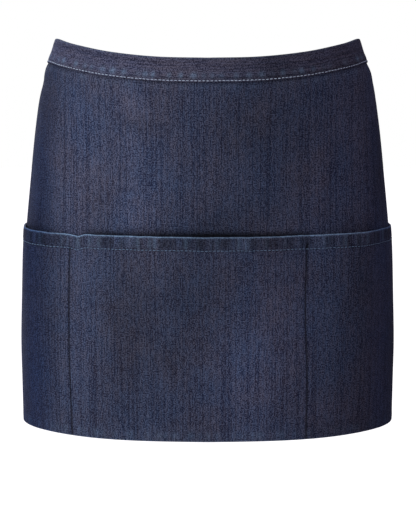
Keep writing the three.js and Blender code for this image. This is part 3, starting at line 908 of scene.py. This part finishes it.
hem_share = 1 - smooth(down, POCKET_TOP + POCKET_HEM_HEIGHT, POCKET_TOP + POCKET_HEM_HEIGHT + 0.0012)
wall = POCKET_WALL + (POCKET_HEM_WALL - POCKET_WALL) * hem_share
middle = out - wall / 2
hung = down + mouth_drop(around, down)
outer = on_cloth(around, hung, middle + full * wall / 2)
inner = on_cloth(around, hung, middle - full * wall / 2)
places = np.stack(np.broadcast_arrays(around, down), -1)
fold_wear = bump(down, POCKET_TOP + 0.0005, 0.0004) * (0.80 + 0.7 * hem_streaks(around))
edge_wear = 0.5 * bump(FROM_EDGE, 0, 0.0012)
streak_wear = 0.75 * in_hem * hem_streaks(around + 0.003) * hem_bumps(around)
wear = fold_wear + edge_wear + streak_wear + 0.13 * bottom_pull + 0.05 * hem_pull
wear = wear + 0.22 * bump(down, FRONT_LENGTH, 0.0009)
hem_blocks = in_hem * (0.64 * hem_bumps(around + 0.006) - 0.42)
# Dye fades with painted light and shade, the seams' painted shade, and the hem's darker blocks
shade = fade_and_painted_light(outer, down) + seam_shade(around, down) + hem_blocks
# Painted shade in the groove of the hem's stitching, and along the fold's top across the centre pocket
shade = shade - 0.35 * bump(down, HEM_STITCH_DOWN, 0.0011)
shade = shade - 0.45 * open_mouth * bump(down, POCKET_TOP, 0.0003)
pocket_panel = cloth_object(
    "pocket_panel_cloth",
    outer,
    inner,
    places,
    wear,
    0.15 * fold_wear + edge_wear,
    shade,
    [POCKET_DENIM, REVERSE_DENIM],
)
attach(pocket_panel, "root")
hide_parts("pocket_panel")

# Pocket stitching
# Blue-grey thread holds the top hem, and dark thread closes the two dividing seams.
# The dividing seams run from the hem's stitching to the bottom edge, through both layers.
BLUE_THREAD = thread_material("blue thread", (0.10, 0.17, 0.27, 1), (0.24, 0.36, 0.52, 1))
level = pocket_out(band_line, HEM_STITCH_DOWN) - 0.0002
hem_line = HEM_STITCH_DOWN + mouth_drop(band_line, HEM_STITCH_DOWN)
row = stitches("pocket_hem_stitches", band_line, hem_line, level, BLUE_THREAD, seed=51, radius=0.00028)
seam_downs = spaced(HEM_STITCH_DOWN + 0.001, FRONT_LENGTH - 0.0015, LINE_STEP)
for side_name, seam_line in zip(("left", "right"), SEAM_LINES):
    seam = through(seam_line, 1, seam_downs)
    level = pocket_out(seam, seam_downs)
    row_name = f"divider_stitches_{side_name}"
    row = stitches(row_name, seam, seam_downs, level, DARK_THREAD, seed=52, radius=0.00034)
for side_name, edge, inward in (("left", LEFT_EDGE, 1), ("right", RIGHT_EDGE, -1)):
    place = edge + inward * SIDE_STITCH_IN
    side_line = spaced(POCKET_TOP + 0.002, FRONT_LENGTH - 0.003, LINE_STEP)
    level = pocket_out(place, side_line)
    row = stitches(f"pocket_side_stitches_{side_name}", place, side_line, level, DARK_THREAD, seed=53)

# Ties
# Two flat straps of the same denim, folded to 20 mm and sewn along both edges. They carry on from
# the waistband's ends to the knot behind the wearer.
TIE_WIDTH = 0.020
TIE_WALL = 0.0020
KNOT_WIDTH = 0.030
KNOT_HEIGHT = 0.025
KNOT_DEPTH = 0.011
KNOT_AROUND = WORN_SHIFT + HALF_WAIST
TIE_TOP = (BAND_HEIGHT - TIE_WIDTH) / 2
TIE_MIDDLE = (BAND_OUT + BAND_IN) / 2
TIE_STITCH_IN = 0.0020
TIE_ROUNDING = 0.0010
TIE_LINE_DOWN = TIE_TOP + TIE_WIDTH / 2
# Towards the knot: the share by which a tie narrows, and how far its edges curl out
TIE_PINCH = 0.34
TIE_CURL = 0.0016
TIE_DENIM = denim(
    "tie denim",
    deep=(0.014, 0.018, 0.046, 1),
    pale=(0.115, 0.130, 0.210, 1),
    brown=(0.024, 0.021, 0.036, 1),
    brown_pale=(0.145, 0.135, 0.180, 1),
    turned=True,
)
tie_bumps = puckers(61, 0, 0.3, 0.0075, 0.0022)


def strap_section(width, wall):
    """Across a flat folded strap: distance from its middle line, and how full it is there."""
    edge = np.array([0, 0.0002, 0.0005, TIE_ROUNDING, TIE_STITCH_IN, 0.0030])
    inner_part = spaced(0.0045, width / 2, 0.0027)
    half = np.concatenate([edge, inner_part])
    across = np.concatenate([half - width / 2, (width / 2 - half)[-2::-1]])
    from_edge = width / 2 - np.abs(across)
    dip = 0.00025 * bump(from_edge, TIE_STITCH_IN, 0.0006)
    return across, wall / 2 * edge_round(from_edge, TIE_ROUNDING) - dip


tie_across, tie_half = strap_section(TIE_WIDTH, TIE_WALL)
tie_spans = {
    "tie_right": (RIGHT_EDGE + SEAM_GAP, KNOT_AROUND - KNOT_WIDTH / 2 + 0.003),
    "tie_left": (KNOT_AROUND + KNOT_WIDTH / 2 - 0.003, LEFT_EDGE - SEAM_GAP + 2 * HALF_WAIST),
}
for name, (start, end) in tie_spans.items():
    places_along = spaced(start, end, 0.0020)
    from_right = np.abs(places_along - RIGHT_EDGE)
    from_left = np.abs(places_along - LEFT_EDGE - 2 * HALF_WAIST)
    from_band = np.minimum(from_right, from_left)
    to_knot = smooth(from_band, 0.012, end - start)
    pinch = 1 - TIE_PINCH * to_knot
    curl = TIE_CURL * to_knot * ((tie_across / (TIE_WIDTH / 2)) ** 2)[:, None]
    ripple = 0.0005 * to_knot * np.sin(tie_across[:, None] * 900 + places_along * 160)
    down = TIE_LINE_DOWN + tie_across[:, None] * pinch
    full = tie_half[:, None] * np.where(from_band < 0.0006, 0.75, 1)
    pucker = tie_bumps(places_along) * bump(np.abs(tie_across), 0.0066, 0.0016)[:, None]
    middle = TIE_MIDDLE + curl + ripple
    outer = on_cloth(places_along, down, middle + full + 0.0002 * pucker)
    inner = on_cloth(places_along, down, middle - full)
    places = np.stack(np.broadcast_arrays(places_along, tie_across[:, None]), -1)
    wear = 0.5 * bump(TIE_WIDTH / 2 - np.abs(tie_across), 0, 0.0010)[:, None]
    worn = wear + 0.18 * pucker
    tie = cloth_object(name + "_cloth", outer, inner, places, worn, wear, 0, [TIE_DENIM])
    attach(tie, "root")
    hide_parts(name)
    for edge_name, edge in (("upper", -1), ("lower", 1)):
        drop = edge * (TIE_WIDTH / 2 - TIE_STITCH_IN)
        line = TIE_LINE_DOWN + drop * pinch
        curled = TIE_CURL * to_knot * (drop / (TIE_WIDTH / 2)) ** 2
        level = TIE_MIDDLE + curled + TIE_WALL / 2 - 0.00015
        row = stitches(f"{name}_stitches_{edge_name}", places_along, line, level, PALE_THREAD, seed=62)

# Knot and loose ends
# The ties cross and pull tight into a small flat knot, and their ends hang under it.
# Each end is the same folded strap, turned a little to its own side, with a turned-in tip.
TIE_END_LENGTH = 0.230
TIE_END_GAP = 0.0015
# A loose end's hang: share of its length, shares moved aside and outward, degrees turned
END_DRAPE = [
    (0.00, 0.000, 0.000, 0),
    (0.08, 0.016, 0.012, 5),
    (0.25, 0.045, 0.014, 13),
    (0.50, 0.075, 0.008, 17),
    (0.75, 0.090, 0.004, 12),
    (1.00, 0.100, 0.008, 8),
]
TIP_ROUNDING = 0.0012
# The knot's form, on a ball of radius 1: one turn of a tie wraps round its middle, and the cloth
# beside it is creased
BALL_SHARE = 0.86
WRAP_LEAN = 0.25
WRAP_HALF_WIDTH = 0.42
WRAP_RISE = 0.13
CREASE_RATE = 7
CREASE_SLANT = 0.9
CREASE_RISE = 0.035
knot_place = np.array(KNOT_AROUND), np.array(TIE_LINE_DOWN)
knot_centre = on_cloth(*knot_place, TIE_MIDDLE + KNOT_DEPTH / 4)
knot_out = look_up(OUTWARD, *knot_place) * (1, 1, 0)
knot_out /= np.linalg.norm(knot_out)
knot_across = np.array([-knot_out[1], knot_out[0], 0])
UP = np.array([0, 0, 1.0])


def strap_object(name, centre, wide, thick):
    """A tie's loose end that follows a line. wide and thick are its directions at each point."""
    length = length_along(np.linalg.norm(np.diff(centre, axis=0), axis=1))
    to_tip = length[-1] - length
    full = tie_half[:, None] * np.clip(edge_round(to_tip, TIP_ROUNDING), 0.15, 1)
    line = centre + wide * tie_across[:, None, None]
    outer = line + thick * full[..., None]
    inner = line - thick * full[..., None]
    places = np.stack(np.broadcast_arrays(length, tie_across[:, None]), -1)
    edge_wear = 0.55 * bump(TIE_WIDTH / 2 - np.abs(tie_across), 0, 0.0010)[:, None]
    wear = edge_wear + 0.5 * bump(to_tip, 0, 0.0012)
    return cloth_object(name, outer, inner, places, wear, wear, 0, [TIE_DENIM])


for name, side in (("tie_end_left", 1), ("tie_end_right", -1)):
    share = np.concatenate([spaced(0, 0.99, 0.0125), [0.994, 0.998, 1.0]])
    top = knot_centre - UP * (KNOT_HEIGHT / 2 - 0.004) + knot_across * side * KNOT_WIDTH / 8
    top = top + knot_out * side * (TIE_WALL + TIE_END_GAP) / 2
    turn = np.radians(side * through(END_DRAPE, 3, share))[:, None]
    wide = knot_across * np.cos(turn) + np.cross(UP, knot_across) * np.sin(turn)
    thick = knot_out * np.cos(turn) + np.cross(UP, knot_out) * np.sin(turn)
    fall = (share * (TIE_END_LENGTH + 0.0035))[:, None]
    aside_by = (side * through(END_DRAPE, 1, share) * TIE_END_LENGTH)[:, None]
    out_by = (through(END_DRAPE, 2, share) * TIE_END_LENGTH)[:, None]
    wave = (0.0012 * np.sin(share * 19 + side) * smooth(share, 0.02, 0.2))[:, None]
    centre = top - UP * fall + knot_across * aside_by + knot_out * (out_by + wave)
    narrow = 1 - 0.45 * (1 - smooth(share, 0, 0.10))
    end = strap_object(name + "_cloth", centre, wide * narrow[:, None], thick)
    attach(end, "root")
    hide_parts(name)

knot_mesh = bpy.data.meshes.new("tie_knot_cloth")
shape = bmesh.new()
bmesh.ops.create_uvsphere(shape, u_segments=96, v_segments=64, radius=1.0)
half_size = np.array([KNOT_WIDTH / 2, KNOT_HEIGHT / 2, KNOT_DEPTH / 2])
for vertex in shape.verts:
    x, y, z = vertex.co
    from_wrap = min(1, abs(x + WRAP_LEAN * y) / WRAP_HALF_WIDTH)
    wrap = 0.5 + 0.5 * math.cos(math.pi * from_wrap)
    crease = math.cos(CREASE_RATE * (y - CREASE_SLANT * x)) * (1 - wrap)
    square = (abs(x) ** 3 + abs(y) ** 3 + abs(z) ** 3) ** (-1 / 3)
    swell_by = square * (BALL_SHARE + WRAP_RISE * wrap + CREASE_RISE * crease)
    vertex.co = Vector((x * swell_by, y * swell_by, z * swell_by))
shape.to_mesh(knot_mesh)
shape.free()
turn_to = Matrix((knot_across, UP, -knot_out)).transposed()
for vertex in knot_mesh.vertices:
    local = Vector(a * b for a, b in zip(vertex.co, half_size))
    vertex.co = turn_to @ local + Vector(knot_centre)
knot_mesh.shade_smooth()
layer = knot_mesh.uv_layers.new(name="cloth")
for loop in knot_mesh.loops:
    point = knot_mesh.vertices[loop.vertex_index].co - Vector(knot_centre)
    layer.data[loop.index].uv = (point.dot(Vector(knot_across)), point.z)
knot_mesh.materials.append(TIE_DENIM)
knot = bpy.data.objects.new("tie_knot_cloth", knot_mesh)
bpy.context.scene.collection.objects.link(knot)
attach(knot, "root")
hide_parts("tie_knot")

# Studio
# A wide pale floor well below the apron, and one tall soft light close to its left front, with
# a weak fill from all round, so that the cloth darkens to the right.
FLOOR_BELOW = 0.95
FLOOR_RADIUS = 14
floor_mesh = bpy.data.meshes.new("floor")
shape = bmesh.new()
bmesh.ops.create_circle(shape, cap_ends=True, segments=96, radius=FLOOR_RADIUS)
shape.to_mesh(floor_mesh)
shape.free()
floor = bpy.data.objects.new("floor", floor_mesh)
floor.location = (0, 0, cad_box[0][2] - FLOOR_BELOW)
bpy.context.scene.collection.objects.link(floor)
floor_material, _, floor_shader = new_material("pale floor")
floor_shader.inputs["Base Color"].default_value = (0.9, 0.9, 0.9, 1)
floor_shader.inputs["Roughness"].default_value = 0.8
floor_shader.inputs["Emission Color"].default_value = (1, 1, 1, 1)
floor_shader.inputs["Emission Strength"].default_value = 1.0
floor_mesh.materials.append(floor_material)
floor.visible_diffuse = False
floor.visible_glossy = False


def soft_light(name, place, aim, width, height, power, colour):
    """A wide soft lamp, which the camera does not see."""
    light = bpy.data.lights.new(name, "AREA")
    light.shape = "RECTANGLE"
    light.size = width
    light.size_y = height
    light.energy = power
    light.color = colour
    lamp = bpy.data.objects.new(name, light)
    lamp.location = place
    direction = Vector(aim) - Vector(place)
    lamp.rotation_euler = direction.to_track_quat("-Z", "Y").to_euler()
    lamp.visible_camera = False
    bpy.context.scene.collection.objects.link(lamp)


# Each lamp: name, place, aim, width, height, power in watts, colour
LAMPS = [
    ("key", (-0.150, -0.205, -0.10), (-0.07, -0.06, -0.12), 0.48, 1.0, 0.90, (0.91, 0.93, 0.95)),
    ("back", (-0.6, 1.3, 0.3), (0, 0, -0.15), 0.8, 1.4, 9.0, (0.95, 0.97, 1.0)),
    ("rim", (-1.6, -0.5, 0.1), (0, 0, -0.15), 0.8, 1.6, 1.6, (0.5, 0.72, 1.0)),
]
for lamp_values in LAMPS:
    soft_light(*lamp_values)

world = bpy.data.worlds.new("studio")
bpy.context.scene.world = world
world.use_nodes = True
tree = world.node_tree
sky = tree.nodes["Background"]
sky.inputs["Color"].default_value = (0.98, 0.86, 1.05, 1)
sky.inputs["Strength"].default_value = 0.22
white = add_node(tree, "ShaderNodeBackground", Color=(1, 1, 1, 1), Strength=1.0)
seen = tree.nodes.new("ShaderNodeLightPath")
choose = tree.nodes.new("ShaderNodeMixShader")
tree.links.new(seen.outputs["Is Camera Ray"], choose.inputs[0])
tree.links.new(sky.outputs[0], choose.inputs[1])
tree.links.new(white.outputs[0], choose.inputs[2])
tree.links.new(choose.outputs[0], tree.nodes["World Output"].inputs["Surface"])
bpy.context.scene.view_settings.view_transform = "Standard"
